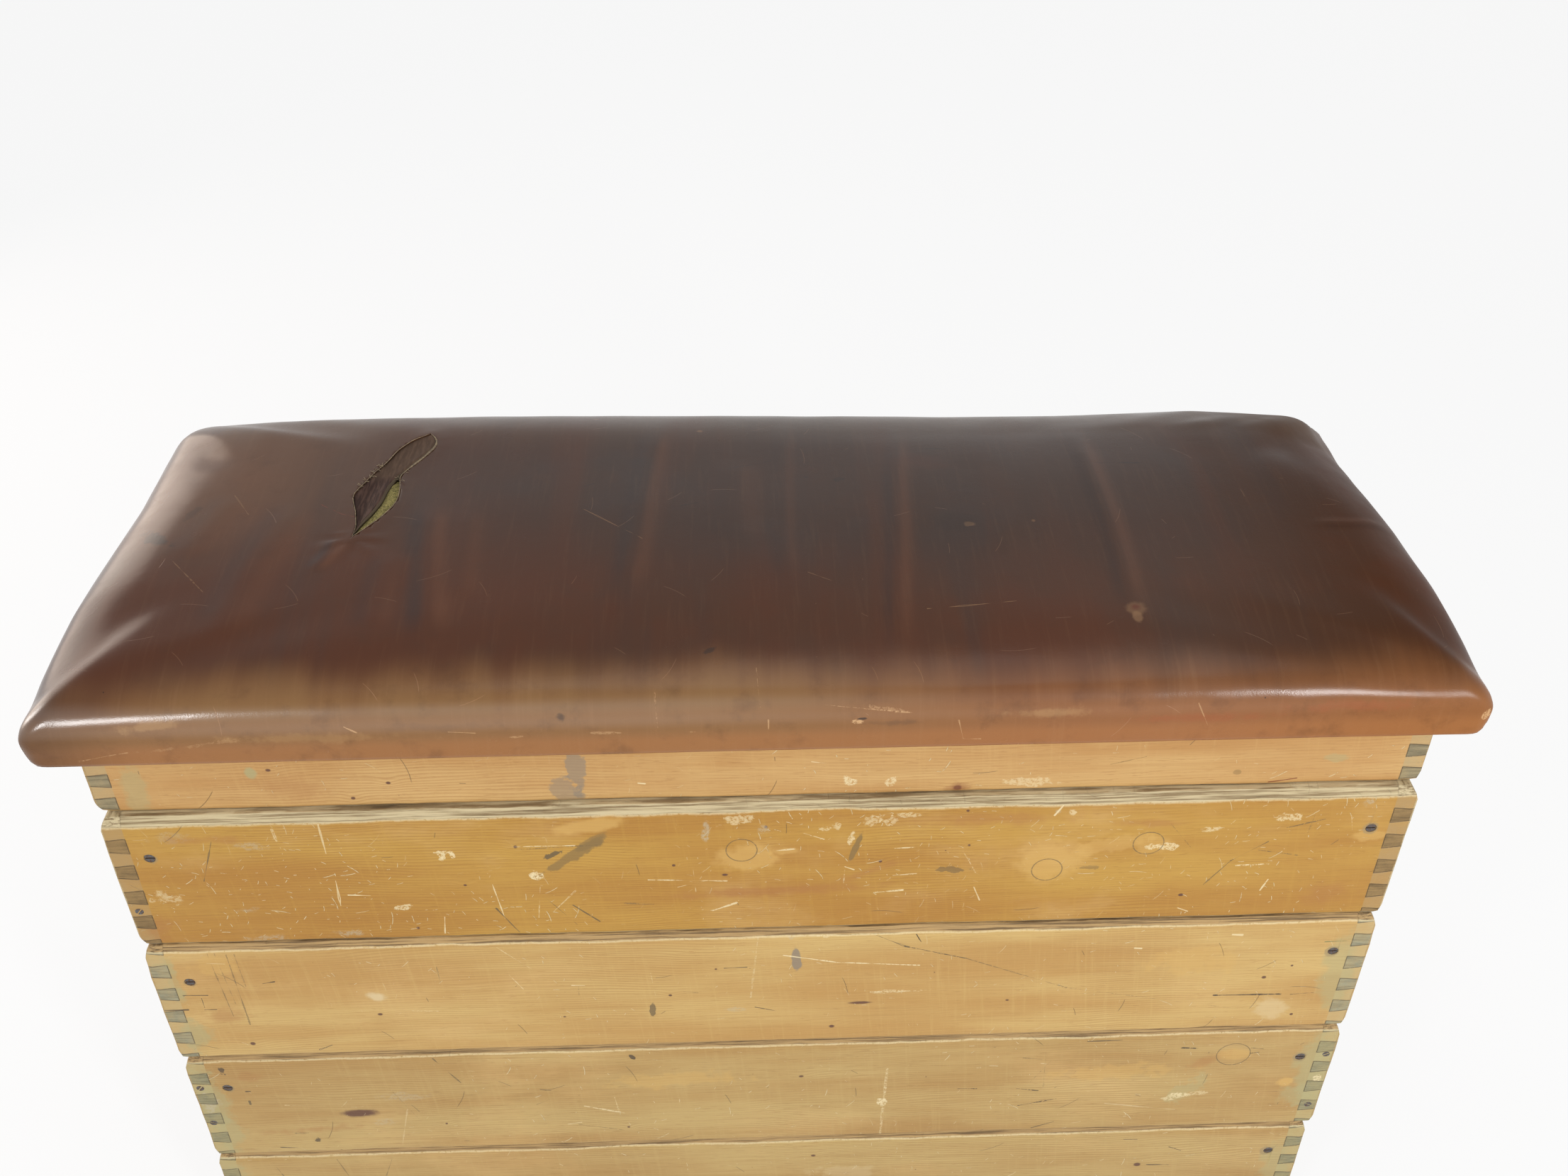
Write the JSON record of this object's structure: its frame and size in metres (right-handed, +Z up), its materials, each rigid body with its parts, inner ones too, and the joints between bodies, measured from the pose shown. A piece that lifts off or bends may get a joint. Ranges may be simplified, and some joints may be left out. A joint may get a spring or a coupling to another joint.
{
  "type": "vaulting box",
  "caption": "Gymnastics vaulting box: a stack of dovetailed wooden frames located by corner posts, with a leather-covered padded top that lifts off.",
  "frame": {"origin": "on the floor, below the middle of the padded top", "axes": "+X along the box to the right as seen from the front, +Y towards the rear, +Z up"},
  "size_m": [1.4916, 0.5756, 0.9937],
  "materials": {
    "long_board": "worn amber varnish with bare edges and scratches",
    "end_board": "worn varnish, grey end grain at the dovetails",
    "inner_wood": "bare planed pine",
    "screw_steel": "dull dark steel, slotted",
    "felt_padding": "greenish yellow felt and hessian",
    "leather": "worn smooth brown hide with a soft sheen"
  },
  "bodies": {
    "base_section": {"base_front_board": "long_board", "base_rear_board": "long_board", "base_left_end_board": "end_board", "base_right_end_board": "end_board", "base_front_left_post": "inner_wood", "base_front_left_screw": "screw_steel", "base_front_right_post": "inner_wood", "base_front_right_screw": "screw_steel", "base_rear_left_post": "inner_wood", "base_rear_left_screw": "screw_steel", "base_rear_right_post": "inner_wood", "base_rear_right_screw": "screw_steel"},
    "section_4": {"section_4_front_board": "long_board", "section_4_rear_board": "long_board", "section_4_left_end_board": "end_board", "section_4_right_end_board": "end_board", "section_4_front_left_post": "inner_wood", "section_4_front_left_screw": "screw_steel", "section_4_front_right_post": "inner_wood", "section_4_front_right_screw": "screw_steel", "section_4_rear_left_post": "inner_wood", "section_4_rear_left_screw": "screw_steel", "section_4_rear_right_post": "inner_wood", "section_4_rear_right_screw": "screw_steel"},
    "section_3": {"section_3_front_board": "long_board", "section_3_rear_board": "long_board", "section_3_left_end_board": "end_board", "section_3_right_end_board": "end_board", "section_3_front_left_post": "inner_wood", "section_3_front_left_screw": "screw_steel", "section_3_front_right_post": "inner_wood", "section_3_front_right_screw": "screw_steel", "section_3_rear_left_post": "inner_wood", "section_3_rear_left_screw": "screw_steel", "section_3_rear_right_post": "inner_wood", "section_3_rear_right_screw": "screw_steel"},
    "section_2": {"section_2_front_board": "long_board", "section_2_rear_board": "long_board", "section_2_left_end_board": "end_board", "section_2_right_end_board": "end_board", "section_2_front_left_post": "inner_wood", "section_2_front_left_screw": "screw_steel", "section_2_front_right_post": "inner_wood", "section_2_front_right_screw": "screw_steel", "section_2_rear_left_post": "inner_wood", "section_2_rear_left_screw": "screw_steel", "section_2_rear_right_post": "inner_wood", "section_2_rear_right_screw": "screw_steel"},
    "top_section": {"top_front_board": "long_board", "top_rear_board": "long_board", "top_left_end_board": "end_board", "top_right_end_board": "end_board", "deck_plank_1": "inner_wood", "deck_plank_2": "inner_wood", "deck_plank_3": "inner_wood", "deck_batten_left": "inner_wood", "deck_batten_right": "inner_wood", "padding": "felt_padding", "leather_cover": "leather"}
  },
  "joints": [
    {"name": "section_4_lift", "type": "slide", "parent": "base_section", "child": "section_4", "axis": [0, 0, 1], "range_m": [0, 0.15]},
    {"name": "section_3_lift", "type": "slide", "parent": "section_4", "child": "section_3", "axis": [0, 0, 1], "range_m": [0, 0.15]},
    {"name": "section_2_lift", "type": "slide", "parent": "section_3", "child": "section_2", "axis": [0, 0, 1], "range_m": [0, 0.15]},
    {"name": "top_lift", "type": "slide", "parent": "section_2", "child": "top_section", "axis": [0, 0, 1], "range_m": [0, 0.15]}
  ]
}
